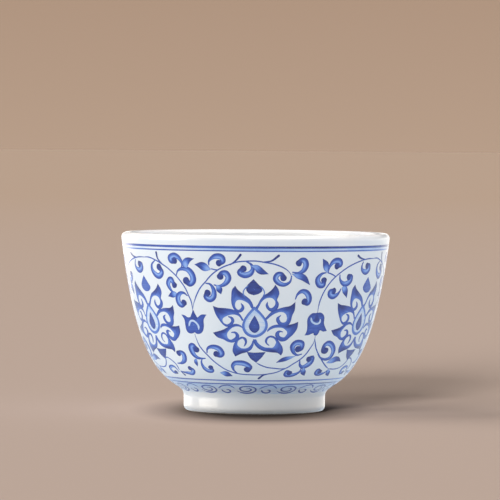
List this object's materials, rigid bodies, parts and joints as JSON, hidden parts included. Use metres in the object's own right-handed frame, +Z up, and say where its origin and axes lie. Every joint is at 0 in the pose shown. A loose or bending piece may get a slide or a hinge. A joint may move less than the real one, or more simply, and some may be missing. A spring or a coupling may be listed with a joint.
{
  "type": "teacup",
  "caption": "Round handleless teacup with a rounded lip, a bowl curving in to a straight foot ring, and blue painted bands and flower scroll on white porcelain.",
  "frame": {"origin": "centre of the circle that the foot ring rests on", "axes": "+Z up along the axis of the cup, out of its mouth; +X and +Y level, -Y towards the front"},
  "size_m": [0.085, 0.085, 0.0565],
  "materials": {
    "porcelain": "bare fired porcelain body, matt",
    "clear_glaze": "clear glaze over white porcelain, smooth and glossy, faintly blue",
    "cobalt_line": "underglaze cobalt line, glossy",
    "cobalt_wash": "thin underglaze cobalt wash, glossy"
  },
  "bodies": {
    "root": {"bowl": "porcelain", "foot_ring": "porcelain", "liner_glaze": "clear_glaze", "lip_glaze": "clear_glaze", "wall_glaze": "clear_glaze", "foot_glaze": "clear_glaze", "base_glaze": "clear_glaze", "rim_line_thick": "cobalt_line", "rim_line_thin": "cobalt_line", "base_line_upper": "cobalt_line", "base_line_lower": "cobalt_line", "rim_wash": "cobalt_wash", "base_wash": "cobalt_wash", "foot_border": "cobalt_wash"}
  },
  "joints": []
}
